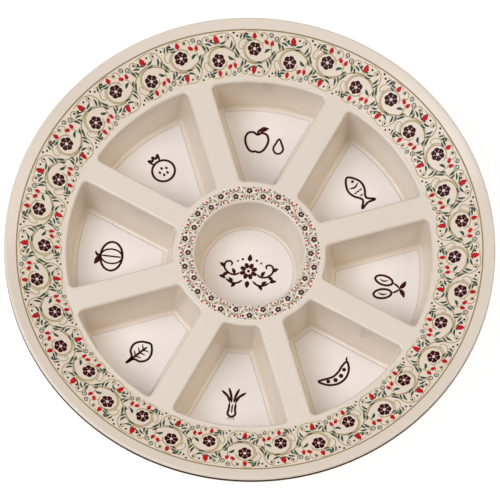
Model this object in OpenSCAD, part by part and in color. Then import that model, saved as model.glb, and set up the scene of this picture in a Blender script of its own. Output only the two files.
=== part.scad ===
// Round compartment plate: a moulded shell with wedge wells round a hub well,
// with printed foils set flush into the rim, the hub ring and the well floors.
// Millimetres, +Z up. Origin: centre of the resting plane under the wells.

/* [Plate] */
// Outside diameter of the plate
plate_d = 360; // [350:1:380]
// Thickness of the moulded wall
wall = 3; // [2.5:0.1:3.5]
// How far the outer edge stands above the deck
rim_rise = 13; // [6:0.5:14]
// Width of the bare border outside the printed band
border_w = 8.5; // [7:0.5:12]
// Height of the turned-down outer edge
edge_h = 6; // [4:0.5:8]

/* [Wells] */
// Number of wedge wells round the hub
wells = 8; // [6:1:8]
// Depth of the wells below the deck
well_depth = 41; // [25:1:45]
// Radius of the outer mouth edge
well_ro = 134; // [126:1:136]
// Radius of the inner mouth edge
well_ri = 56.5; // [55:0.5:60]
// Width of the flat spokes between mouths
spoke_w = 18.5; // [16:0.5:22]
// Draft of every wall, degrees from vertical
draft = 6; // [4:0.5:10]
// Bevel that eases the mouth edges
lip = 1.8; // [0.8:0.1:2.2]
// Bevel at the foot of the walls
foot = 2; // [1:0.1:2.5]

/* [Hub] */
// Mouth radius of the round hub well
hub_r = 40; // [34:0.5:40.5]
// Inner radius of the printed ring round the hub mouth
ring_ri = 42.5; // [42:0.5:45]
// Outer radius of the printed ring round the hub mouth
ring_ro = 52.5; // [48:0.5:53]

/* [Foils] */
// Thickness of the printed foils
foil_t = 0.2; // [0.1:0.05:0.4]
// Bare strip between a floor's foot bevel and its foil
foil_gap = 0.7; // [0.5:0.1:3]

/* [Hidden] */
$fn = 96;
BIG = 500;
R = plate_d / 2;
half_a = 180 / wells;
td = tan(draft);
z_floor = wall;
z_deck = wall + well_depth;
run = well_depth * td;              // plan run of a drafted wall
skin = wall / cos(draft);           // wall thickness measured in plan
lip_r = wall / 2;                   // round on the outer edge
z_edge = z_deck + rim_rise;         // top of the outer edge
rim_r0 = well_ro + 3.4;             // where the rim starts to rise
rim_r1 = R - border_w + 0.5;        // where the border starts
rim_z1 = z_deck + rim_rise * 0.86;
band_r0 = rim_r0 + 0.2;
band_r1 = R - border_w;
tb = tan(50);                       // slope of the foot bevel
ivory = "#e8dccb";
foil_tint = "#efe6da";

// height of the rim's upper face at radius r
function rim_z(r) = z_deck + (rim_z1 - z_deck) * (r - rim_r0) / (rim_r1 - rim_r0);
// plan distance of a well's side wall from its spoke's centre line at height z
function side_d(z) = spoke_w / 2 + (z_deck - z) * td;

// everything on the well's side of a leaning side wall: at height zr the wall
// is dr from the spoke's centre line, and it leans back by the angle a
module side_half(dr, zr, a) {
    rotate([0, 0, half_a])
        translate([0, -dr, zr])
            rotate([-a, 0, 0])
                translate([-60, -BIG, -BIG / 2])
                    cube([BIG, BIG, BIG]);
}
module both_sides(dr, zr, a) {
    intersection() {
        side_half(dr, zr, a);
        mirror([0, 1, 0]) side_half(dr, zr, a);
    }
}

// the hollow of one wedge well, lying along +X
module well_hollow() {
    ro_f = well_ro - run;
    ri_f = well_ri + run;
    fz = foot;                      // height of the foot bevel
    fr = foot / tb * 1.19 + foot * td; // its plan width
    up = 1;
    intersection() {
        rotate_extrude()
            polygon([[ri_f + fr, z_floor], [ro_f - fr, z_floor],
                     [ro_f + fz * td, z_floor + fz], [well_ro + up * td, z_deck + up],
                     [well_ri - up * td, z_deck + up], [ri_f - fz * td, z_floor + fz]]);
        both_sides(side_d(z_floor), z_floor, draft);
        both_sides(side_d(z_floor) + fr * 0.8, z_floor, atan((fr + fz * td) / fz));
    }
    // eased mouth
    intersection() {
        rotate_extrude()
            polygon([[well_ri + 4, z_deck - lip - 4 - lip * td], [well_ro - 4, z_deck - lip - 4 - lip * td],
                     [well_ro + lip + up - lip * td, z_deck + up], [well_ri - lip - up + lip * td, z_deck + up]]);
        both_sides(spoke_w / 2 - lip + lip * td, z_deck, 45);
    }
}

// the outside of one wedge well, down to the resting plane
module well_pan() {
    b = 1.2;                        // eased bottom edge
    ro_b = well_ro - (z_deck) * td + skin;
    ri_b = well_ri + (z_deck) * td - skin;
    intersection() {
        rotate_extrude()
            polygon([[ri_b + b, 0], [ro_b - b, 0], [ro_b + b * td, b], [ro_b + (z_deck - 1) * td, z_deck - 1],
                     [ri_b - (z_deck - 1) * td, z_deck - 1], [ri_b - b * td, b]]);
        both_sides(side_d(0) - skin, 0, draft);
        both_sides(side_d(0) - skin + b * 0.8, 0, 45);
    }
}

module hub_hollow() {
    r_f = hub_r - run;
    fr = foot / tb * 1.19 + foot * td;
    rotate_extrude()
        polygon([[0, z_floor], [r_f - fr, z_floor], [r_f + foot * td, z_floor + foot],
                 [hub_r - lip * td, z_deck - lip], [hub_r - lip * td + lip + 1, z_deck + 1], [0, z_deck + 1]]);
}

module hub_pan() {
    b = 1.2;
    r_b = hub_r - z_deck * td + skin;
    rotate_extrude()
        polygon([[0, 0], [r_b - b, 0], [r_b + b * td, b], [r_b + (z_deck - 1) * td, z_deck - 1], [0, z_deck - 1]]);
}

// flat deck, rising rim and turned-down edge in one turned profile
module deck() {
    c = 0.5;                        // eased lower edges
    rotate_extrude() {
        polygon([[0, z_deck - wall], [rim_r0 + 0.4, z_deck - wall], [rim_r1, rim_z1 - wall],
                 [R - wall, z_edge - wall - 0.35], [R - wall, z_edge - edge_h + c], [R - wall + c, z_edge - edge_h],
                 [R - c, z_edge - edge_h], [R, z_edge - edge_h + c], [R, z_edge - lip_r],
                 [R - lip_r, z_edge - lip_r], [R - lip_r, z_edge],
                 [rim_r1, rim_z1], [rim_r0, z_deck], [0, z_deck]]);
        translate([R - lip_r, z_edge - lip_r]) circle(r = lip_r);
    }
}

// plan of a well floor's foil, lying along +X
module foil_plan() {
    fr = foot / tb * 1.19 + foot * td + foil_gap;
    d = side_d(z_floor) + fr;
    difference() {
        intersection() {
            circle(r = well_ro - run - fr);
            rotate([0, 0, half_a]) translate([-60, -d - BIG]) square([BIG, BIG]);
            mirror([0, 1]) rotate([0, 0, half_a]) translate([-60, -d - BIG]) square([BIG, BIG]);
        }
        circle(r = well_ri + run + fr);
    }
}
module floor_foil(t) { translate([0, 0, z_floor - foil_t]) linear_extrude(t) foil_plan(); }
module hub_foil(t) {
    fr = foot / tb * 1.19 + foot * td + foil_gap;
    translate([0, 0, z_floor - foil_t]) cylinder(h = t, r = hub_r - run - fr);
}
module band_foil(t) {
    rotate_extrude()
        polygon([[band_r0, rim_z(band_r0) - foil_t], [band_r1, rim_z(band_r1) - foil_t],
                 [band_r1, rim_z(band_r1) - foil_t + t], [band_r0, rim_z(band_r0) - foil_t + t]]);
}
module ring_foil(t) {
    translate([0, 0, z_deck - foil_t]) difference() {
        cylinder(h = t, r = ring_ro);
        translate([0, 0, -1]) cylinder(h = t + 2, r = ring_ri);
    }
}

module plate_body() {
    color(ivory) difference() {
        union() {
            deck();
            hub_pan();
            for (k = [0 : wells - 1]) rotate([0, 0, k * 360 / wells]) well_pan();
        }
        hub_hollow();
        for (k = [0 : wells - 1]) rotate([0, 0, k * 360 / wells]) well_hollow();
        // shallow seats that leave every foil flush
        for (k = [0 : wells - 1]) rotate([0, 0, k * 360 / wells]) floor_foil(foil_t + 1);
        hub_foil(foil_t + 1);
        band_foil(foil_t + 1);
        ring_foil(foil_t + 1);
    }
}
module rim_band_foil() { color("#c9a06a") band_foil(foil_t); }
module hub_ring_foil() { color("#c9a06a") ring_foil(foil_t); }
module hub_floor_foil() { color(foil_tint) hub_foil(foil_t); }
module well_foil(k) { color(foil_tint) rotate([0, 0, k * 360 / wells]) floor_foil(foil_t); }

plate_body();
rim_band_foil();
hub_ring_foil();
hub_floor_foil();
well_foil(0);  // well_foil_right
well_foil(1);  // well_foil_back_right
well_foil(2);  // well_foil_back
well_foil(3);  // well_foil_back_left
well_foil(4);  // well_foil_left
well_foil(5);  // well_foil_front_left
well_foil(6);  // well_foil_front
well_foil(7);  // well_foil_front_right
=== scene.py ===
import math

import bpy
import numpy as np
from mathutils import Matrix, Vector
from mathutils.geometry import delaunay_2d_cdt


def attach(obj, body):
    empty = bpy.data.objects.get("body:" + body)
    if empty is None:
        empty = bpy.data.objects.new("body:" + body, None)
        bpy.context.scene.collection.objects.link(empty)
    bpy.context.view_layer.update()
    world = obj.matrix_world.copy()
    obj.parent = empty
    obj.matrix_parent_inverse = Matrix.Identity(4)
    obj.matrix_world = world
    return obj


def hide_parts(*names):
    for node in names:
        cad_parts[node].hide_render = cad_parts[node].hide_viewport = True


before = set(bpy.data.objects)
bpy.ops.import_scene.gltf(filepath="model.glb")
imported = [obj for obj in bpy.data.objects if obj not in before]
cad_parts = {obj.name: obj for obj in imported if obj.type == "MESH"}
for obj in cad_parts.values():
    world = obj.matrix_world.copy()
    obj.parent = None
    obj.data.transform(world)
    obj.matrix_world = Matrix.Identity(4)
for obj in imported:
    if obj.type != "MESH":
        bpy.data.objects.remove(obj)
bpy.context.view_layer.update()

scene = bpy.context.scene
PI = math.pi

# ---------------------------------------------------------------- sizes (mm)
R, WALL, DEPTH, RISE, EDGE = 180.0, 3.0, 41.0, 13.0, 6.0
ZF, ZD = WALL, WALL + DEPTH            # well floor, deck
DRAFT = math.radians(6)
TD, CD = math.tan(DRAFT), math.cos(DRAFT)
RO, RI, SW, HUB = 134.0, 56.5, 18.5, 40.0
RCW = 3.4                              # plan radius of the well corners on the wall
RF, RF_HUB, RM = 3.0, 2.4, 2.3         # rounds at the foot and at the mouth
RIM0, RIM1 = 137.4, 172.0
RIMZ1 = ZD + RISE * 0.86
BAND0, BAND1 = 137.6, 171.5
RING0, RING1 = 42.5, 52.5
SEG = 288                              # steps round the plate
HALF = PI / 8


# ---------------------------------------------------------------- plan outlines
def arc(c, r, a0, a1, n):
    a = np.linspace(a0, a1, n)
    nor = np.c_[np.cos(a), np.sin(a)]
    return np.asarray(c) + r * nor, nor


def wedge(o, rc, n_out=30, n_cor=9, n_side=9, n_in=13):
    """Plan points and outward plan normals of a well's mouth line grown by o, with corner radius rc, lying along +X."""
    ro, ri, d = RO + o, RI - o, SW / 2 - o
    pts, nor = [], []

    def add(pn):
        pts.append(pn[0]); nor.append(pn[1])

    def centre(side, rad):
        u = np.array([math.cos(HALF), side * math.sin(HALF)])
        n = np.array([math.sin(HALF), -side * math.cos(HALF)])
        return u * math.sqrt(rad * rad - (d + rc) ** 2) + n * (d + rc), n

    co_m, n_m = centre(-1, ro - rc)
    co_p, n_p = centre(+1, ro - rc)
    ci_m, _ = centre(-1, ri + rc)
    ci_p, _ = centre(+1, ri + rc)
    fo = math.atan2(co_p[1], co_p[0])
    fi = math.atan2(ci_p[1], ci_p[0])
    a_p, a_m = math.atan2(-n_p[1], -n_p[0]), math.atan2(-n_m[1], -n_m[0]) + 2 * PI
    add(arc((0, 0), ro, -fo, fo, n_out))
    q = arc(co_p, rc, fo, a_p, n_cor + 1); add((q[0][1:], q[1][1:]))
    t = np.linspace(0, 1, n_side + 1)[1:, None]
    s0, s1 = co_p - n_p * rc, ci_p - n_p * rc
    add((s0 + (s1 - s0) * t, np.repeat([-n_p], n_side, 0)))
    q = arc(ci_p, rc, a_p, fi + PI, n_cor + 1); add((q[0][1:], q[1][1:]))
    a = np.linspace(fi, -fi, n_in + 1)[1:]
    add((ri * np.c_[np.cos(a), np.sin(a)], -np.c_[np.cos(a), np.sin(a)]))
    q = arc(ci_m, rc, PI - fi, a_m, n_cor + 1); add((q[0][1:], q[1][1:]))
    s0, s1 = ci_m - n_m * rc, co_m - n_m * rc
    add((s0 + (s1 - s0) * t, np.repeat([-n_m], n_side, 0)))
    q = arc(co_m, rc, a_m, 2 * PI - fo, n_cor + 1); add((q[0][1:-1], q[1][1:-1]))
    return np.vstack(pts), np.vstack(nor)


def disc(o, n=120):
    a = np.linspace(0, 2 * PI, n, endpoint=False)
    u = np.c_[np.cos(a), np.sin(a)]
    return (HUB + o) * u, u


def turn(p, a):
    c, s = math.cos(a), math.sin(a)
    return np.c_[p[:, 0] * c - p[:, 1] * s, p[:, 0] * s + p[:, 1] * c]


# profile of a well: rows of (offset from the mouth line, z, corner radius, normal across, normal up)
def hollow_profile(RF):
    rows = []
    o_f = (ZF - ZD) * TD
    oc = o_f + RF * TD - RF / CD
    ot = oc + RF * CD
    for a in np.linspace(-PI / 2, -DRAFT, 9):
        o = oc + RF * math.cos(a)
        rows.append((o, ZF + RF + RF * math.sin(a), RCW + o - ot, -math.cos(a), -math.sin(a)))
    om = RM / CD - RM * TD
    ow, zw = om - RM * CD, ZD - RM + RM * math.sin(DRAFT)
    o0, z0 = rows[-1][0], rows[-1][1]
    for t in np.linspace(0, 1, 6)[1:-1]:
        rows.append((o0 + (ow - o0) * t, z0 + (zw - z0) * t, RCW, -CD, math.sin(DRAFT)))
    for a in np.linspace(PI - DRAFT, PI / 2, 9):
        o = om + RM * math.cos(a)
        rows.append((o, ZD - RM + RM * math.sin(a), RCW + o - ow, math.cos(a), math.sin(a)))
    return rows


def pan_profile():
    rows = []
    sk, zu, rb, rt = WALL / CD, ZD - WALL, 2.5, 1.0
    wall_o = lambda z: (z - ZD) * TD + sk
    oc = wall_o(rb) - rb / CD
    ot = oc + rb * CD
    for a in np.linspace(-PI / 2, -DRAFT, 8):
        o = oc + rb * math.cos(a)
        rows.append((o, rb + rb * math.sin(a), RCW + sk + o - ot, math.cos(a), math.sin(a)))
    oc2 = wall_o(zu - rt) + rt / CD
    ow, zw = oc2 - rt * CD, zu - rt + rt * math.sin(DRAFT)
    o0, z0 = rows[-1][0], rows[-1][1]
    for t in np.linspace(0, 1, 6)[1:-1]:
        rows.append((o0 + (ow - o0) * t, z0 + (zw - z0) * t, RCW + sk, CD, -math.sin(DRAFT)))
    for a in np.linspace(PI - DRAFT, PI / 2, 7):
        o = oc2 + rt * math.cos(a)
        rows.append((o, zu - rt + rt * math.sin(a), RCW + sk + o - ow, -math.cos(a), -math.sin(a)))
    return rows


# ---------------------------------------------------------------- rim profile
def eased(knots, widths):
    """Points along straight runs between knots, each inner knot eased by a parabola of that half width."""
    out = [knots[0]]
    for i in range(1, len(knots) - 1):
        a, b, c = map(np.asarray, knots[i - 1:i + 2])
        w = widths[i - 1]
        p = b + (a - b) / np.linalg.norm(a - b) * w
        q = b + (c - b) / np.linalg.norm(c - b) * w
        for t in np.linspace(0, 1, 8):
            out.append(tuple((1 - t) ** 2 * p + 2 * t * (1 - t) * b + t * t * q))
    out.append(knots[-1])
    return out


LIP = WALL / 2
ZE = ZD + RISE
LC = (R - LIP, ZE - LIP)
SL = math.atan2(ZE - RIMZ1, R - LIP - RIM1)
top_line = eased([(136.3, ZD), (RIM0, ZD), (RIM1, RIMZ1), (LC[0] - LIP * math.sin(SL), LC[1] + LIP * math.cos(SL))], [1.0, 3.0])
low_line = eased([(R, LC[1]), (R, ZE - EDGE), (R - WALL, ZE - EDGE), (R - WALL, ZE - WALL - 0.35), (RIM1, RIMZ1 - WALL),
                  (RIM0 + 1.1, ZD - WALL), (137.75, ZD - WALL)], [0.9, 0.9, 1.2, 2.5, 0.7])


def spaced(line, step):
    line = np.array(line); out = [line[0]]
    for a, b in zip(line[:-1], line[1:]):
        n = max(1, int(np.linalg.norm(b - a) / step))
        out += [a + (b - a) * k / n for k in range(1, n + 1)]
    return np.array(out)


top_line = spaced(top_line, 4.0)
low_line = spaced(low_line, 6.0)
lip_arc = np.array([(LC[0] + LIP * math.cos(a), LC[1] + LIP * math.sin(a)) for a in np.linspace(PI / 2 + SL, 0, 10)])
rim_line = np.vstack([top_line, lip_arc[1:-1], low_line])
rim_tan = np.gradient(rim_line, axis=0)
rim_nor = np.c_[-rim_tan[:, 1], rim_tan[:, 0]]
rim_nor /= np.linalg.norm(rim_nor, axis=1)[:, None]
rim_nor[0], rim_nor[-1] = (0, 1), (0, -1)


def rim_z(r):
    return np.interp(r, top_line[:, 0], top_line[:, 1])


# ---------------------------------------------------------------- mesh helpers
class Shell:
    def __init__(self):
        self.v, self.n, self.f = [], [], []

    def ring(self, pts, nor):
        k = len(self.v)
        self.v += [tuple(p) for p in pts]
        self.n += [tuple(p) for p in nor]
        return list(range(k, k + len(pts)))

    def bridge(self, a, b, flip=False):
        m = len(a)
        for i in range(m):
            j = (i + 1) % m
            q = (a[i], a[j], b[j], b[i])
            self.f.append(q[::-1] if flip else q)

    def fill(self, loops, up=True):
        """Fills the flat area inside the first loop and outside the others."""
        ids = [i for l in loops for i in l]
        co = [Vector(self.v[i][:2]) for i in ids]
        edges, border, k = [], set(), 0
        for n, l in enumerate(loops):
            e = [(k + i, k + (i + 1) % len(l)) for i in range(len(l))]
            p = np.array([self.v[i][:2] for i in l])
            q = np.roll(p, -1, 0)
            ccw = (p[:, 0] * q[:, 1] - q[:, 0] * p[:, 1]).sum() > 0
            edges += e
            border |= set(e if ccw == (n == 0) else [(b, a) for a, b in e])   # the filled area lies on their left
            k += len(l)
        _, _, faces, back, _, _ = delaunay_2d_cdt(co, edges, [], 0, 1e-6)
        tri = [[back[i][0] for i in f] for f in faces]
        if sum((co[b] - co[a]).cross(co[c] - co[a]) for a, b, c in tri) < 0:
            tri = [t[::-1] for t in tri]
        side = {(t[m], t[(m + 1) % 3]): n for n, t in enumerate(tri) for m in range(3)}
        # keep what lies on the left of a border edge, and all that joins it without crossing a border
        keep, todo = set(), [side[e] for e in border]
        while todo:
            n = todo.pop()
            if n in keep:
                continue
            keep.add(n)
            t = tri[n]
            todo += [side[(b, a)] for a, b in zip(t, t[1:] + t[:1]) if (a, b) not in border and (b, a) in side]
        for n in sorted(keep):
            t = [ids[m] for m in tri[n]]
            self.f.append(tuple(t if up else t[::-1]))

    def make(self, name, mat, exact=True):
        me = bpy.data.meshes.new(name)
        me.from_pydata([(x * 0.001, y * 0.001, z * 0.001) for x, y, z in self.v], [], self.f)
        me.polygons.foreach_set("use_smooth", [True] * len(me.polygons))
        if exact:
            me.normals_split_custom_set_from_vertices(self.n)
        me.update()
        ob = bpy.data.objects.new(name, me)
        scene.collection.objects.link(ob)
        me.materials.append(mat)
        return ob


def z_col(p, z):
    return np.c_[p, np.full(len(p), float(z))]


# ---------------------------------------------------------------- materials
def nodes_of(name):
    m = bpy.data.materials.new(name)
    m.use_nodes = True
    nt = m.node_tree
    return m, nt, nt.nodes["Principled BSDF"]


def noise(nt, scale, detail=3.0, rough=0.5):
    tc = nt.nodes.get("tc")
    if tc is None:
        tc = nt.nodes.new("ShaderNodeTexCoord"); tc.name = "tc"
    n = nt.nodes.new("ShaderNodeTexNoise")
    n.inputs["Scale"].default_value = scale
    n.inputs["Detail"].default_value = detail
    n.inputs["Roughness"].default_value = rough
    nt.links.new(tc.outputs["Object"], n.inputs["Vector"])
    return n


def ramp(nt, src, stops):
    r = nt.nodes.new("ShaderNodeValToRGB")
    e = r.color_ramp.elements
    while len(e) < len(stops):
        e.new(0.5)
    for x, (p, c) in zip(e, stops):
        x.position, x.color = p, (*c, 1)
    nt.links.new(src, r.inputs["Fac"])
    return r


def plastic(name, base, spread, rough, rough_span, bump=0.05, grain=900.0, gloss=0.5):
    """Moulded plastic: a slow drift of colour, a finer mottling, uneven gloss and a faint orange peel."""
    m, nt, b = nodes_of(name)
    base = np.array(base)
    slow, fine = noise(nt, 14.0, 2.0), noise(nt, 160.0, 4.0)
    lo, hi = base * (1 - spread), np.minimum(base * (1 + spread), 1)
    c1 = ramp(nt, slow.outputs["Fac"], [(0.30, lo), (0.70, hi)])
    c2 = ramp(nt, fine.outputs["Fac"], [(0.35, lo), (0.65, hi)])
    mix = nt.nodes.new("ShaderNodeMix"); mix.data_type = "RGBA"
    mix.inputs["Factor"].default_value = 0.4
    nt.links.new(c1.outputs["Color"], mix.inputs["A"])
    nt.links.new(c2.outputs["Color"], mix.inputs["B"])
    nt.links.new(mix.outputs["Result"], b.inputs["Base Color"])
    rn = noise(nt, 38.0, 5.0, 0.6)
    mr = nt.nodes.new("ShaderNodeMapRange")
    mr.inputs["From Min"].default_value, mr.inputs["From Max"].default_value = 0.3, 0.7
    mr.inputs["To Min"].default_value, mr.inputs["To Max"].default_value = rough - rough_span, rough + rough_span
    nt.links.new(rn.outputs["Fac"], mr.inputs["Value"])
    nt.links.new(mr.outputs["Result"], b.inputs["Roughness"])
    bn = noise(nt, grain, 2.0)
    bp = nt.nodes.new("ShaderNodeBump")
    bp.inputs["Strength"].default_value = bump
    bp.inputs["Distance"].default_value = 0.0003
    nt.links.new(bn.outputs["Fac"], bp.inputs["Height"])
    nt.links.new(bp.outputs["Normal"], b.inputs["Normal"])
    b.inputs["IOR"].default_value = 1.5
    b.inputs["Specular IOR Level"].default_value = gloss
    return m


IVORY = (0.855, 0.752, 0.615)
melamine = plastic("melamine_ivory", IVORY, 0.012, 0.15, 0.03, 0.012, 300.0)
foil = plastic("foil_ivory", (0.915, 0.848, 0.778), 0.012, 0.15, 0.03, 0.012, 300.0)
foil_band = plastic("foil_cream", (0.868, 0.748, 0.592), 0.012, 0.20, 0.03, 0.012, 300.0, 0.20)
foil_ring = plastic("foil_pale_cream", (0.915, 0.805, 0.665), 0.012, 0.20, 0.03, 0.012, 300.0, 0.20)
ink_gold = plastic("ink_gold", (0.34, 0.245, 0.105), 0.14, 0.45, 0.06, 0.03, 1600.0, 0.12)
ink_vine = plastic("ink_vine", (0.43, 0.335, 0.16), 0.10, 0.45, 0.06, 0.03, 1600.0, 0.12)
ink_green = plastic("ink_green", (0.036, 0.086, 0.055), 0.24, 0.45, 0.06, 0.03, 1600.0, 0.12)
ink_red = plastic("ink_red", (0.54, 0.011, 0.014), 0.18, 0.45, 0.06, 0.03, 1600.0, 0.12)
ink_maroon = plastic("ink_maroon", (0.046, 0.003, 0.003), 0.15, 0.45, 0.06, 0.03, 1600.0, 0.12)
ink_dark = plastic("ink_dark", (0.010, 0.008, 0.010), 0.20, 0.45, 0.06, 0.03, 1600.0, 0.12)
ink_pale = plastic("ink_pale", (0.80, 0.62, 0.56), 0.04, 0.45, 0.05, 0.03, 1600.0, 0.12)
# painted shade: dark brown for the band on the lower outer edge, which stands in for the shade there
shade_paint_ink = plastic("painted_shade_brown", (0.075, 0.036, 0.010), 0.20, 0.60, 0.05, 0.012, 300.0, 0.0)
ink_line = plastic("ink_fine_line", (0.40, 0.31, 0.25), 0.06, 0.45, 0.05, 0.03, 1600.0, 0.12)

# ---------------------------------------------------------------- the moulded plate
body = Shell()
hollow, hub_hollow, pan = hollow_profile(RF), hollow_profile(RF_HUB), pan_profile()


def stack(rows, plan, angle, down):
    """Rings of one well's inside or outside, the first one filled; returns the last ring."""
    rings = []
    for o, z, rc, na, nz in rows:
        p, n = plan(o, rc)
        p, n = turn(p, angle), turn(n, angle)
        rings.append(body.ring(z_col(p, z), np.c_[n * na, np.full(len(n), nz)]))
    for a, b in zip(rings[:-1], rings[1:]):
        body.bridge(a, b, flip=not down)
    body.fill([rings[0]], up=not down)
    return rings[-1]


plan_wedge = lambda o, rc: wedge(o, rc)
plan_disc = lambda o, rc: disc(o)
mouths = [stack(hollow, plan_wedge, k * PI / 4, False) for k in range(8)]
mouths.append(stack(hub_hollow, plan_disc, 0.0, False))
roots = [stack(pan, plan_wedge, k * PI / 4, True) for k in range(8)]
roots.append(stack(pan, plan_disc, 0.0, True))

th = np.linspace(0, 2 * PI, SEG, endpoint=False)
uc = np.c_[np.cos(th), np.sin(th)]
rings = [body.ring(z_col(uc * r, z), np.c_[uc * nr, np.full(SEG, nz)]) for (r, z), (nr, nz) in zip(rim_line, rim_nor)]
for a, b in zip(rings[:-1], rings[1:]):
    body.bridge(a, b, flip=True)
body.fill([rings[0], *mouths], up=True)
body.fill([rings[-1], *roots], up=False)
plate = body.make("plate_shell", melamine)
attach(plate, "root"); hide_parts("plate_body")


# painted shade: a dark brown band round the lower part of the outer edge, standing in for the shade on that face
shade_top_z = ZE - EDGE + 4.5
edge = np.array([(R, shade_top_z)] + [tuple(p) for p in eased([(R, shade_top_z), (R, ZE - EDGE), (R - WALL, ZE - EDGE)], [0.9])[1:-1]])
en = np.gradient(edge, axis=0)
en = np.c_[-en[:, 1], en[:, 0]] / np.linalg.norm(en, axis=1)[:, None]
shade_shell = Shell()
loop = np.vstack([edge + en * 0.04, (edge - en * 0.05)[::-1]])
rows = [shade_shell.ring(z_col(uc * r, z), np.zeros((SEG, 3))) for r, z in loop]
for a, b in zip(rows, rows[1:] + rows[:1]):
    shade_shell.bridge(a, b, flip=True)
shade_line_ob = shade_shell.make("rim_painted_shade_line", shade_paint_ink, exact=False)
shade_line_ob.data.set_sharp_from_angle(angle=0.6)
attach(shade_line_ob, "root")

# ---------------------------------------------------------------- foils, set flush
FOIL_O = -(DEPTH * TD + 2 / math.tan(math.radians(50)) * 1.19 + 2 * TD + 0.7)
NAMES = ["right", "back_right", "back", "back_left", "left", "front_left", "front", "front_right"]
LIFT = 0.03


def slab(name, loops, z0, z1, mat, node):
    s = Shell()
    tops, lows = [], []
    for k, p in enumerate(loops):
        up = s.ring(z_col(p, z1), np.zeros((len(p), 3)))
        lo = s.ring(z_col(p, z0), np.zeros((len(p), 3)))
        s.bridge(lo, up, flip=k > 0)
        tops.append(up); lows.append(lo)
    s.fill(tops, True)
    s.fill(lows, False)
    ob = s.make(name, mat, exact=False)
    ob.data.shade_flat()
    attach(ob, "root")
    if node:
        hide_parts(node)
    return ob


def beads(name, outline, pitch, r, h, z):
    """A line of small raised dots along a closed outline."""
    seg = np.roll(outline, -1, 0) - outline
    cum = np.r_[0, np.cumsum(np.linalg.norm(seg, axis=1))]
    n = int(round(cum[-1] / pitch))
    at = np.arange(n) * cum[-1] / n
    i = np.searchsorted(cum, at, "right") - 1
    c = outline[i] + seg[i] * ((at - cum[i]) / (cum[i + 1] - cum[i]))[:, None]
    a = np.linspace(0, 2 * PI, 8, endpoint=False)
    u = np.c_[np.cos(a), np.sin(a)]
    s = Shell()
    for q in c:
        rows = [s.ring(z_col(q + u * r * f, z + h * g), np.zeros((8, 3))) for f, g in ((1.0, -0.15), (0.85, 0.6), (0.42, 1.0))]
        s.bridge(rows[0], rows[1]); s.bridge(rows[1], rows[2])
        s.f += [tuple(rows[2]), tuple(rows[0][::-1])]
    ob = s.make(name, ink_line, exact=False)
    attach(ob, "root")
    return ob


for k, nm in enumerate(NAMES):
    slab(f"floor_sheet_{nm}", [turn(wedge(FOIL_O, 0.9)[0], k * PI / 4)], ZF - 0.05, ZF + LIFT, foil, f"well_foil_{nm}")
    beads(f"floor_edge_{nm}", turn(wedge(FOIL_O - 0.45, 0.6)[0], k * PI / 4), 1.55, 0.42, 0.16, ZF + LIFT)
slab("hub_floor_sheet", [disc(-6.6, 180)[0]], ZF - 0.05, ZF + LIFT, foil, "hub_floor_foil")
beads("hub_floor_edge", disc(-7.0, 180)[0], 1.55, 0.42, 0.16, ZF + LIFT)
slab("hub_ring_sheet", [disc(RING1 - HUB, SEG)[0], disc(RING0 - HUB, SEG)[0]], ZD - 0.05, ZD + LIFT, foil_ring, "hub_ring_foil")


def band(name, r0, r1, low, high, mat, node):
    """A thin ring that follows the rim's slope."""
    s = Shell()
    rs = np.unique(np.r_[r0, top_line[(top_line[:, 0] > r0 + 0.05) & (top_line[:, 0] < r1 - 0.05), 0], r1])
    loop = [(r, rim_z(r) + high) for r in rs] + [(r, rim_z(r) + low) for r in rs[::-1]]
    rr = [s.ring(z_col(uc * r, z), np.zeros((SEG, 3))) for r, z in loop]
    for a, b in zip(rr, rr[1:] + rr[:1]):
        s.bridge(a, b, flip=True)
    ob = s.make(name, mat, exact=False)
    ob.data.set_sharp_from_angle(angle=0.6)
    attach(ob, "root")
    if node:
        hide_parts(node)
    return ob


band("rim_band_sheet", BAND0, BAND1, -0.05, LIFT, foil_band, "rim_band_foil")
band("rim_gold_line", BAND1 - 1.05, BAND1 - 0.05, -0.02, LIFT + 0.03, ink_gold, None)


# ---------------------------------------------------------------- print
def spline(pts, step=0.6, closed=False):
    """Catmull-Rom curve through the points, sampled about every step."""
    p = np.array(pts, float)
    m = len(p)
    out = []
    for i in range(m if closed else m - 1):
        if closed:
            a, b, c, d = p[(i - 1) % m], p[i], p[(i + 1) % m], p[(i + 2) % m]
        else:
            b, c = p[i], p[i + 1]
            a = p[i - 1] if i else 2 * b - c
            d = p[i + 2] if i + 2 < m else 2 * c - b
        k = max(2, int(np.linalg.norm(c - b) / step))
        for t in np.arange(k) / k:
            out.append(0.5 * (2 * b + (c - a) * t + (2 * a - 5 * b + 4 * c - d) * t * t + (3 * b - a - 3 * c + d) * t ** 3))
    if not closed:
        out.append(p[-1])
    return np.array(out)


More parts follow.
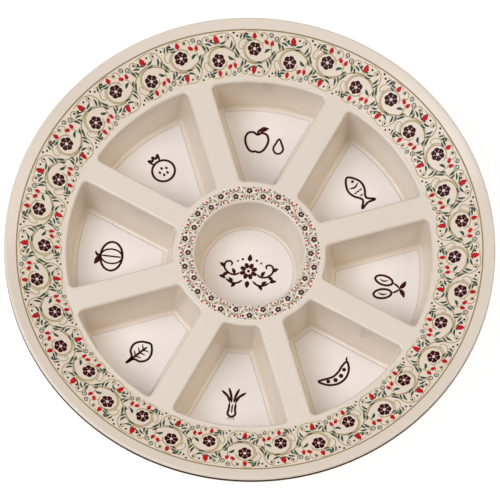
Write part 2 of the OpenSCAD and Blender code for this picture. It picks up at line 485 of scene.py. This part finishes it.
class Ink:
    """Flat printed shapes, kept as thin closed prisms just above the surface they lie on."""

    def __init__(self, name, mat, slot, top):
        self.name, self.mat, self.slot, self.top = name, mat, slot, top
        self.v, self.f = [], []

    def poly(self, pts, lay):
        pts = np.asarray(pts, float)
        area = np.sum(pts[:, 0] * np.roll(pts[:, 1], -1) - np.roll(pts[:, 0], -1) * pts[:, 1])
        if lay.flips:
            area = -area
        if area < 0:
            pts = pts[::-1]
        m, k = len(pts), len(self.v)
        self.v += lay(pts, self.top) + lay(pts, -0.02)
        self.f.append(tuple(range(k, k + m)))
        self.f.append(tuple(range(k + 2 * m - 1, k + m - 1, -1)))
        for i in range(m):
            j = (i + 1) % m
            self.f.append((k + m + i, k + m + j, k + j, k + i))

    def stroke(self, pts, w, lay, closed=False, taper=0.35):
        pts = np.asarray(pts, float)
        m = len(pts)
        if closed:
            t = np.roll(pts, -1, 0) - np.roll(pts, 1, 0)
            ws = np.full(m, w)
        else:
            t = np.gradient(pts, axis=0)
            x = np.linspace(0, 1, m)
            e = np.clip(np.minimum(x, 1 - x) * m / 3.0, 0, 1)
            ws = w * (taper + (1 - taper) * e)
        t /= np.maximum(np.linalg.norm(t, axis=1), 1e-9)[:, None]
        nrm = np.c_[-t[:, 1], t[:, 0]] * ws[:, None] / 2
        left, right = pts + nrm, pts - nrm
        k = len(self.v)
        self.v += lay(left, self.top) + lay(right, self.top) + lay(left, -0.02) + lay(right, -0.02)
        L, Rr, l, r = (range(k + i * m, k + i * m + m) for i in range(4))
        fl = lay.flips

        def put(*q):
            self.f.append(q[::-1] if fl else q)
        for i in range(m if closed else m - 1):
            j = (i + 1) % m
            put(Rr[i], Rr[j], L[j], L[i])
            put(l[i], l[j], r[j], r[i])
            put(L[i], L[j], l[j], l[i])
            put(r[i], r[j], Rr[j], Rr[i])
        if not closed:
            put(L[0], l[0], r[0], Rr[0])
            put(Rr[-1], r[-1], l[-1], L[-1])

    def make(self):
        me = bpy.data.meshes.new(self.name)
        me.from_pydata([(x * 0.001, y * 0.001, z * 0.001) for x, y, z in self.v], [], self.f)
        me.update()
        ob = bpy.data.objects.new(self.name, me)
        scene.collection.objects.link(ob)
        me.materials.append(self.mat)
        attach(ob, "root")
        return ob


class OnRing:
    """Lays (p, q) on a ring of radius rm, p along the arc from angle a0, q across it; sign -1 mirrors q."""

    def __init__(self, rm, a0, sign, z, scale=1.0):
        self.rm, self.a0, self.sign, self.z, self.k = rm, a0, sign, z, scale
        self.flips = sign > 0        # p runs anticlockwise and q outwards: left-handed seen from above

    def __call__(self, pts, h):
        a = self.a0 + pts[:, 0] * self.k / self.rm
        r = self.rm + self.sign * self.k * pts[:, 1]
        z = self.z(r) + h
        return list(zip((r * np.cos(a)).tolist(), (r * np.sin(a)).tolist(), np.broadcast_to(z, r.shape).tolist()))


class OnFloor:
    """Lays (x, y) on a well floor about a point, with y along the up direction."""

    flips = False

    def __init__(self, c, up, scale=1.0):
        self.c, self.up = np.asarray(c, float), np.asarray(up, float)
        self.rt = np.array([self.up[1], -self.up[0]])
        self.k = scale

    def __call__(self, pts, h):
        q = self.c + self.k * (pts[:, :1] * self.rt + pts[:, 1:] * self.up)
        return [(x, y, ZF + LIFT + h) for x, y in q.tolist()]


def spin(pts, deg, at=(0, 0)):
    return turn(np.asarray(pts, float), math.radians(deg)) + np.asarray(at, float)


def leaf(ink, lay, p, q, deg, length, width, bend=0.10, gap=0.16):
    """A leaf in two halves with a bare vein between them, or in one piece if the gap is 0."""
    t = np.linspace(0, 1, 8)
    hw = width / 2 * np.sin(PI * t ** 0.85) ** 0.9
    yc = bend * length * 4 * t * (1 - t)
    if not gap:
        x = length * t
        ink.poly(spin(np.vstack([np.c_[x, yc + hw], np.c_[x, yc - hw][-2:0:-1]]), deg, (p, q)), lay)
        return
    g = gap * width / 2 * np.sin(PI * np.clip(t, 0.02, 0.98))
    for s in (1, -1):
        a = np.c_[length * t, yc + s * g]
        b = np.c_[length * t, yc + s * np.maximum(hw, g)]
        ink.poly(spin(np.vstack([a, b[-2:0:-1]]), deg, (p, q)), lay)


def drop(ink, lay, p, q, deg, length, width, n=7):
    t = np.linspace(0, 1, n)
    hw = width / 2 * np.sin(PI * t ** 0.72) ** 0.8
    up = np.c_[length * t, hw]
    dn = np.c_[length * t[1:-1], -hw[1:-1]][::-1]
    ink.poly(spin(np.vstack([up, dn]), deg, (p, q)), lay)


def dot(ink, lay, p, q, r, n=10):
    a = np.linspace(0, 2 * PI, n, endpoint=False)
    ink.poly(np.c_[p + r * np.cos(a), q + r * np.sin(a)], lay)


def rosette(ink, pale, lay, p, q, r, petals=6, turn_deg=0.0):
    """A scalloped flower with a pale eye and pale slits between the petals."""
    a = np.linspace(0, 2 * PI, 8 * petals, endpoint=False)
    rad = r * (0.80 + 0.20 * np.abs(np.cos(petals * a / 2)) ** 0.8)
    ink.poly(spin(np.c_[rad * np.cos(a), rad * np.sin(a)], turn_deg, (p, q)), lay)
    dot(pale, lay, p, q, 0.25 * r, 12)
    for k in range(petals):
        b = turn_deg + 360 * (k + 0.5) / petals
        e = spin(np.c_[[0.36, 0.52, 0.70, 0.52], [0, 0.055, 0, -0.055]] * r, b, (p, q))
        pale.poly(e, lay)


def curl(ink, lay, p, q, r, start, turns, w):
    t = np.linspace(0, 1, int(14 * turns) + 6)
    a = np.radians(start) + 2 * PI * turns * t
    rad = r * (1 - 0.78 * t)
    ink.stroke(np.c_[p + rad * np.cos(a), q + rad * np.sin(a)], w, lay)


def bud(red, green, lay, p, q, deg, length, width):
    """A bud with two small sepals at its base."""
    drop(red, lay, p, q, deg, length, width, 9)
    for s in (1, -1):
        leaf(green, lay, p, q, deg + 62 * s, 0.44 * length, 0.36 * width, 0.12 * s, 0.0)


def pair(ink, lay, p, q, deg, length, width, spread=0.62):
    """Two slender leaves side by side, the second a little shorter and set back."""
    leaf(ink, lay, p, q, deg, length, width, 0.10, 0.0)
    x, y = spin([(-0.18 * length, spread * width * 1.9)], deg, (p, q))[0]
    leaf(ink, lay, x, y, deg + 6, 0.80 * length, 0.85 * width, 0.10, 0.0)


def half_wave(vine, green, red, maroon, dark, pale, lay, H, wig):
    """One half of a running scroll: the stem swells to +q and throws a tendril round a rosette on its hollow side."""
    p = np.linspace(0, H, 34)
    vine.stroke(np.c_[p, 6.0 * np.sin(PI * p / H)], 0.85, lay, taper=1.0)
    c = np.array([12.5, -3.2])
    t = np.linspace(0, 1, 46)
    for grow, w in ((0.0, 0.70), (1.35, 0.50)):
        a = np.radians(146 - (322 - 60 * grow) * t)
        rad = 5.55 + grow + 5.0 * np.exp(-4.2 * t)
        vine.stroke(np.c_[c[0] + rad * np.cos(a), c[1] + rad * np.sin(a)], w, lay)
    rosette(maroon, pale, lay, c[0], c[1], 4.55, 6, 15 + wig)
    # crest: a bud on a short stalk between slender leaves
    vine.stroke(spline([(11.6, 5.9), (12.0, 7.2), (12.2, 8.2)]), 0.62, lay)
    bud(red, green, lay, 12.2, 7.8, 82, 5.5, 3.4)
    pair(green, lay, 10.8, 7.2, 158, 5.3, 1.48)
    pair(green, lay, 15.6, 6.6, 22, 5.1, 1.42)
    # leaves along the stem
    pair(green, lay, 4.3, 3.6, 106, 5.8, 1.50)
    pair(green, lay, 20.3, 3.4, 66, 5.6, 1.48)
    pair(green, lay, 21.9, 0.9, -62, 6.0, 1.50)
    leaf(green, lay, 5.9, -0.8, 212, 5.0, 1.9, 0.12, 0.0)
    # curls in the corners by the band's edges
    vine.stroke(spline([(1.4, 1.1), (0.5, 4.6), (0.9, 8.2), (2.9, 11.9), (5.4, 12.5), (6.7, 10.9), (5.8, 9.4), (4.5, 9.8), (4.6, 10.9)]), 0.60, lay)
    vine.stroke(spline([(18.4, 4.6), (20.6, 7.2), (21.3, 10.2), (19.9, 12.6), (17.7, 12.6), (16.9, 10.9), (17.8, 9.7), (18.9, 10.3)]), 0.60, lay)
    vine.stroke(spline([(8.2, -6.4), (5.4, -8.6), (4.7, -11.3), (6.2, -13.4), (8.4, -13.2), (9.1, -11.6), (8.0, -10.6), (7.0, -11.3)]), 0.60, lay)
    vine.stroke(spline([(3.2, 12.1), (6.4, 13.9), (10.4, 13.9), (13.6, 13.3), (16.6, 13.4)]), 0.52, lay)
    vine.stroke(spline([(14.6, -8.6), (17.8, -9.6), (21.0, -8.9), (22.8, -6.2), (22.4, -3.6), (20.6, -3.2), (19.9, -4.6), (20.9, -5.4)]), 0.55, lay)
    vine.stroke(spline([(9.4, -12.6), (12.2, -14.3), (16.2, -14.2), (19.6, -12.9), (22.6, -13.4)]), 0.52, lay)
    # spray under the scroll
    vine.stroke(spline([(12.5, -8.6), (12.7, -9.4), (12.6, -10.2)]), 0.60, lay)
    drop(red, lay, 12.6, -9.4, -88, 4.4, 2.8, 9)
    pair(green, lay, 14.4, -10.6, -14, 5.1, 1.42)
    # twin berries on a forked stalk by the node
    vine.stroke(spline([(0.7, 0.6), (1.4, -3.0), (1.6, -5.8)]), 0.57, lay)
    vine.stroke(spline([(1.5, -4.2), (2.6, -5.6), (3.6, -6.6)]), 0.52, lay)
    drop(red, lay, 1.6, -5.4, -98, 4.0, 2.5, 9)
    drop(red, lay, 3.7, -6.4, -46, 4.0, 2.5, 9)
    pair(green, lay, 19.6, -9.4, -118, 4.9, 1.42)
    curl(green, lay, 22.9, 10.4, 1.9, 200, 1.4, 0.62)
    curl(green, lay, 2.6, -12.4, 1.7, 60, 1.4, 0.62)
    for x, y in ((4.9, 11.0), (18.3, 11.0), (8.0, -12.0), (15.6, 10.2), (1.2, 13.6), (23.4, -11.6), (17.2, -12.4), (8.9, 11.6)):
        dot(dark, lay, x, y, 0.72)


def small_wave(vine, green, red, maroon, dark, pale, lay, H):
    """The same idea, cut down for the narrow ring."""
    p = np.linspace(0, H, 18)
    vine.stroke(np.c_[p, 2.1 * np.sin(PI * p / H)], 0.50, lay, taper=1.0)
    c = np.array([0.5 * H, -1.75])
    t = np.linspace(0, 1, 26)
    a = np.radians(150 - 300 * t)
    rad = 2.9 + 1.3 * np.exp(-4.0 * t)
    vine.stroke(np.c_[c[0] + rad * np.cos(a), c[1] + rad * np.sin(a)], 0.44, lay)
    rosette(maroon, pale, lay, c[0], c[1], 2.3, 5, 20)
    drop(red, lay, 0.5 * H, 2.4, 84, 2.3, 1.55, 8)
    leaf(green, lay, 0.42 * H, 2.3, 150, 2.8, 0.80, 0.1, 0.0)
    leaf(green, lay, 0.58 * H, 2.3, 30, 2.8, 0.80, -0.1, 0.0)
    leaf(green, lay, 0.66 * H, 3.7, 20, 2.5, 0.76, -0.1, 0.0)
    leaf(green, lay, 0.86 * H, 1.1, 64, 3.0, 0.84, 0.1, 0.0)
    leaf(green, lay, 0.90 * H, 0.3, -70, 3.0, 0.84, 0.1, 0.0)
    leaf(green, lay, 0.13 * H, -1.2, -116, 2.9, 0.80, 0.1, 0.0)
    leaf(green, lay, 0.80 * H, -3.0, -60, 2.5, 0.76, 0.1, 0.0)
    drop(red, lay, 0.02 * H, -1.1, -84, 2.2, 1.45, 8)
    drop(red, lay, 0.24 * H, 4.0, 130, 1.9, 1.25, 8)
    leaf(green, lay, 0.30 * H, -3.9, -168, 2.5, 0.76, 0.1, 0.0)
    vine.stroke(spline([(0.05 * H, 0.6), (0.10 * H, 3.0), (0.26 * H, 4.9), (0.42 * H, 5.2)]), 0.42, lay)
    vine.stroke(spline([(0.70 * H, -3.7), (0.84 * H, -4.9), (1.0 * H, -5.0)]), 0.42, lay)
    for x, y in ((0.20 * H, 2.6), (0.76 * H, -4.5), (0.14 * H, 4.9), (0.97 * H, 4.6), (0.74 * H, 4.9), (0.22 * H, -4.9)):
        dot(dark, lay, x, y, 0.40, 8)


def inks(prefix):
    return [Ink(prefix + "_vine", ink_vine, "print_gold", LIFT + 0.02), Ink(prefix + "_green", ink_green, "print_green", LIFT + 0.03),
            Ink(prefix + "_red", ink_red, "print_red", LIFT + 0.04), Ink(prefix + "_maroon", ink_maroon, "print_maroon", LIFT + 0.05),
            Ink(prefix + "_dark", ink_dark, "print_ink", LIFT + 0.06), Ink(prefix + "_pale", ink_pale, "print_foil", LIFT + 0.07)]


rim_inks = inks("rim_print")
RB = (BAND0 + BAND1 - 1.1) / 2
WAVES, GROW = 18, 1.105
for k in range(2 * WAVES):
    lay = OnRing(RB, k * PI / WAVES, 1 if k % 2 == 0 else -1, rim_z, GROW)
    half_wave(*rim_inks, lay, RB * PI / WAVES / GROW, 9.0 * (k % 5))
for i in rim_inks:
    i.make()

hub_inks = inks("hub_print")
RH = (RING0 + RING1) / 2 - 0.7
for k in range(28):
    lay = OnRing(RH, k * PI / 14, 1 if k % 2 == 0 else -1, lambda r: ZD + 0 * r)
    small_wave(*hub_inks, lay, RH * PI / 14)
for i in hub_inks:
    i.make()


# small plain pictures of foods on the well floors
def ellipse(cx, cy, a, b, deg=0, n=36):
    t = np.linspace(0, 2 * PI, n, endpoint=False)
    return spin(np.c_[a * np.cos(t), b * np.sin(t)], deg, (cx, cy))


def mirror_x(pts):
    return [(-x, y) for x, y in pts]


PEN = 1.4


def draw_apple(k, lay):
    right = [(0, 4.2), (2.6, 5.6), (5.6, 4.8), (7.0, 1.6), (6.2, -2.6), (4.0, -6.0), (1.6, -7.0), (0, -6.5)]
    out = right + mirror_x(right[1:-1])[::-1]
    sh = np.array([-4.5, -0.5])
    k.stroke(spline(out, 0.7, True) + sh, PEN, lay, True)
    k.stroke(spline([(0, 4.0), (0.3, 6.0), (1.3, 8.2)]) + sh, PEN, lay)
    leaf(k, lay, 0.9 + sh[0], 6.4 + sh[1], 24, 6.4, 3.2, 0.08, 0.0)
    d = [(0, 5.0), (2.1, 1.3), (3.0, -1.4), (1.9, -3.7), (0, -4.5), (-1.9, -3.7), (-3.0, -1.4), (-2.1, 1.3)]
    k.stroke(spline(d, 0.6, True) + (9.0, -2.6), PEN * 0.9, lay, True)


def draw_fish(k, lay):
    k.stroke(spline([(-10.4, 0), (-7.6, 3.0), (-3, 4.9), (1.5, 4.1), (5.2, 1.7), (7.4, 1.6), (10.8, 5.0), (9.8, 0), (10.8, -5.0), (7.4, -1.6), (5.2, -1.7), (1.5, -4.1), (-3, -4.9), (-7.6, -3.0)], 0.7, True), PEN, lay, True)
    dot(k, lay, -6.4, 1.1, 0.95)
    k.stroke(spline([(-3.9, 3.3), (-2.6, 0), (-3.9, -3.3)]), PEN * 0.8, lay)
    for y in (1.9, 0.0, -1.9):
        k.stroke(spline([(0.0, y + 0.9), (0.9, y), (0.0, y - 0.9)], 0.4), PEN * 0.7, lay)
    k.stroke(spline([(3.1, 0.95), (4.0, 0), (3.1, -0.95)], 0.4), PEN * 0.7, lay)


def draw_date(k, lay):
    for s in (-1, 1):
        k.stroke(ellipse(4.3 * s, -2.6, 2.9, 5.4, 12 * s), PEN, lay, True)
        k.stroke(spline([(4.3 * s - 0.4, -5.2), (4.3 * s + 0.5, -2.6), (4.3 * s - 0.2, 0.2)]), PEN * 0.7, lay)
        k.stroke(spline([(3.2 * s, 2.8), (2.0 * s, 5.4), (0, 7.4)]), PEN * 0.9, lay)
        leaf(k, lay, 0, 7.2, 90 - 58 * s, 6.6, 2.8, 0.08 * s, 0.0)


def draw_pod(k, lay):
    k.stroke(spline([(-10.6, 3.4), (-7.4, -1.8), (-2, -4.9), (3.8, -4.8), (8.6, -1.8), (10.8, 2.8), (6.6, 2.4), (2.8, 0.9), (-2, 0.5), (-6.6, 2.2)], 0.7, True), PEN, lay, True)
    for x, y, r in ((-5.9, -0.1, 1.25), (-1.9, -2.1, 1.4), (2.4, -2.1, 1.4), (6.3, -0.1, 1.25)):
        dot(k, lay, x, y, r, 14)
    k.stroke(spline([(10.7, 2.7), (11.6, 4.3), (13.0, 5.2)]), PEN, lay)


def draw_leek(k, lay):
    k.stroke(spline([(-1.9, 0.4), (-1.9, -4), (-2.3, -7.2), (0, -8.8), (2.3, -7.2), (1.9, -4), (1.9, 0.4)], 0.7), PEN, lay)
    for pts in ([(-1.8, 0.2), (-3.4, 4.0), (-7.4, 7.4)], [(-0.7, 0.2), (-1.5, 5.0), (-3.2, 9.4)], [(0.7, 0.2), (1.5, 5.0), (3.2, 9.4)], [(1.8, 0.2), (3.4, 4.0), (7.4, 7.4)]):
        k.stroke(spline(pts), PEN * 1.15, lay)
    k.stroke(spline([(0, -0.6), (0, -6.4)]), PEN * 0.7, lay)
    for x in (-1.4, 0, 1.4):
        k.stroke(spline([(x * 0.6, -8.9), (x * 1.5, -10.6)]), PEN * 0.6, lay)


def draw_chard(k, lay):
    right = [(0, -9.6), (0.9, -4.8), (4.6, -2.6), (6.4, 1.6), (4.9, 5.8), (1.8, 8.6), (0, 9.4)]
    k.stroke(spline(right + mirror_x(right[1:-1])[::-1], 0.7, True), PEN, lay, True)
    k.stroke(spline([(0, -9.4), (0, 6.6)]), PEN, lay)
    for y in (-1.6, 1.6, 4.6):
        for s in (-1, 1):
            k.stroke(spline([(0, y - 1.4), (1.8 * s, y), (3.4 * s, y + 0.7)]), PEN * 0.7, lay)


def draw_gourd(k, lay):
    k.stroke(ellipse(0, -1.2, 9.2, 6.6), PEN, lay, True)
    k.stroke(ellipse(0, -1.2, 4.6, 6.5), PEN * 0.75, lay, True)
    k.stroke(spline([(0, 5.2), (0, -7.4)]), PEN * 0.75, lay)
    k.stroke(spline([(0, 5.4), (0.3, 7.4), (2.2, 8.8)]), PEN * 1.3, lay)
    leaf(k, lay, -0.2, 6.4, 158, 6.4, 3.2, 0.08, 0.0)


def draw_pome(k, lay):
    k.stroke(ellipse(0, -2.0, 7.0, 6.7), PEN, lay, True)
    k.stroke(spline([(-2.2, 4.4), (-3.4, 8.4), (-1.2, 6.9), (0, 9.0), (1.2, 6.9), (3.4, 8.4), (2.2, 4.4)], 0.4), PEN, lay)
    for x, y in ((0, -0.2), (-2.5, -1.7), (2.5, -1.7), (-1.3, -4.4), (1.3, -4.4)):
        drop(k, lay, x, y - 0.9, 90, 2.2, 1.6)


def draw_wreath(k, lay):
    a = np.linspace(0, 2 * PI, 14, endpoint=False)
    for j in range(8):
        k.poly(spin(np.c_[4.1 + 2.1 * np.cos(a), 1.5 * np.sin(a)], 22.5 + 45 * j, (0, 0.4)), lay)
    dot(k, lay, 0, 0.4, 1.1)
    for s in (-1, 1):
        side = lambda pts: np.array([(s * x, y) for x, y in pts])
        k.stroke(spline(side([(5.6, -1.2), (9.0, -3.0), (13.0, -2.4), (16.4, 1.0), (16.2, 5.0), (13.4, 6.4), (11.6, 4.8), (12.4, 3.0)])), PEN, lay)
        k.stroke(spline(side([(3.4, -6.4), (7.0, -9.0), (11.4, -8.8), (15.0, -6.4)])), PEN, lay)
        for x, y, d, n in ((9.2, -2.9, 62, 5.0), (13.4, -2.1, -38, 5.2), (16.7, 1.6, 40, 4.6), (7.6, -9.1, -50, 4.6), (10.0, -9.1, 48, 4.8), (15.0, -6.4, 18, 5.2)):
            leaf(k, lay, s * x, y, d if s > 0 else 180 - d, n, 2.5, 0.1 * s, 0.0)
        dot(k, lay, s * 4.8, 8.6, 0.9)
        dot(k, lay, s * 8.0, 7.0, 0.75)
    drop(k, lay, 0, 7.4, 90, 5.4, 3.2)
    drop(k, lay, 0, -6.6, -90, 5.4, 3.2)


DRAW = [draw_date, draw_fish, draw_apple, draw_pome, draw_gourd, draw_chard, draw_leek, draw_pod]
for k, nm in enumerate(NAMES):
    a = k * PI / 4
    out = np.array([math.cos(a), math.sin(a)])
    up = out if k in (0, 1, 2, 3, 4) else -out
    ink = Ink(f"floor_print_{nm}", ink_maroon, "print_maroon", 0.03)
    DRAW[k](ink, OnFloor(out * 103.0, up, 1.22))
    ink.make()
ink = Ink("hub_floor_print", ink_maroon, "print_maroon", 0.03)
draw_wreath(ink, OnFloor((0, 0), (0, 1), 1.08))
ink.make()

# ---------------------------------------------------------------- stage
floor_me = bpy.data.meshes.new("floor")
S = 30.0
floor_me.from_pydata([(-S, -S, 0), (S, -S, 0), (S, S, 0), (-S, S, 0)], [], [(0, 1, 2, 3)])
floor = bpy.data.objects.new("floor", floor_me)
floor.location.z = -0.0002
scene.collection.objects.link(floor)
fm, nt, b = nodes_of("floor_white")
b.inputs["Base Color"].default_value = (0.30, 0.30, 0.30, 1)
b.inputs["Roughness"].default_value = 0.9
b.inputs["Emission Color"].default_value = (1, 1, 1, 1)
b.inputs["Emission Strength"].default_value = 0.82
floor_me.materials.append(fm)

world = bpy.data.worlds.new("studio")
scene.world = world
world.use_nodes = True
bg = world.node_tree.nodes["Background"]
bg.inputs["Color"].default_value = (1.0, 0.72, 0.48, 1)
bg.inputs["Strength"].default_value = 0.11


def area(name, loc, target, size, watts, colour=(1, 1, 1), size_y=None):
    d = bpy.data.lights.new(name, "AREA")
    d.energy, d.color = watts, colour
    d.shape, d.size = "RECTANGLE", size
    d.size_y = size_y or size
    o = bpy.data.objects.new(name, d)
    o.location = loc
    o.rotation_mode = "QUATERNION"
    o.rotation_quaternion = (Vector(target) - Vector(loc)).to_track_quat("-Z", "Y")
    scene.collection.objects.link(o)
    return o


def around(az, el, dist):
    az, el = math.radians(az), math.radians(el)
    return (dist * math.cos(el) * math.cos(az), dist * math.cos(el) * math.sin(az), dist * math.sin(el))


COOL, WARM = (0.85, 0.89, 1.0), (1.0, 0.955, 0.88)
area("key", around(212, 60, 2.6), (0, 0, 0.03), 2.0, 39.6, COOL, size_y=1.2)
area("left", around(180, 36, 2.6), (0, 0, 0.03), 2.0, 8.4, COOL, size_y=1.2)
area("fill", around(6, 53, 2.6), (0, 0, 0.03), 2.0, 18, WARM, size_y=1.2)
area("top", around(90, 84, 2.6), (0, 0, 0.03), 2.0, 11.5, COOL)

# ---------------------------------------------------------------- camera
# fitted to the outer edge and the well corners: a long lens, a little round to the right, with a slight roll
ELEV, TURN, ROLL = math.radians(70.25), math.radians(3.38), math.radians(3.27)
DIST = 60 * 0.180
F_PX = 245.4 * 60
CX, CY = 249.5, 253.0
cam_data = bpy.data.cameras.new("camera")
cam = bpy.data.objects.new("camera", cam_data)
scene.collection.objects.link(cam)
scene.camera = cam
cam_data.sensor_width = 36.0
cam_data.lens = 36.0 * F_PX / 500
cam_data.clip_start, cam_data.clip_end = 0.1, 100
back = Vector((math.cos(ELEV) * math.sin(TURN), -math.cos(ELEV) * math.cos(TURN), math.sin(ELEV)))
right = Vector((math.cos(TURN), math.sin(TURN), 0))
upv = back.cross(right)
right_r = right * math.cos(ROLL) + upv * math.sin(ROLL)
up_r = -right * math.sin(ROLL) + upv * math.cos(ROLL)
per_px = DIST / F_PX
eye = Vector((0, 0, ZD * 0.001)) + back * DIST + right_r * (250 - CX) * per_px + up_r * (CY - 250) * per_px
m = Matrix((right_r, up_r, back)).transposed().to_4x4()
m.translation = eye
cam.matrix_world = m

scene.view_settings.view_transform = "Standard"
scene.view_settings.look = "None"
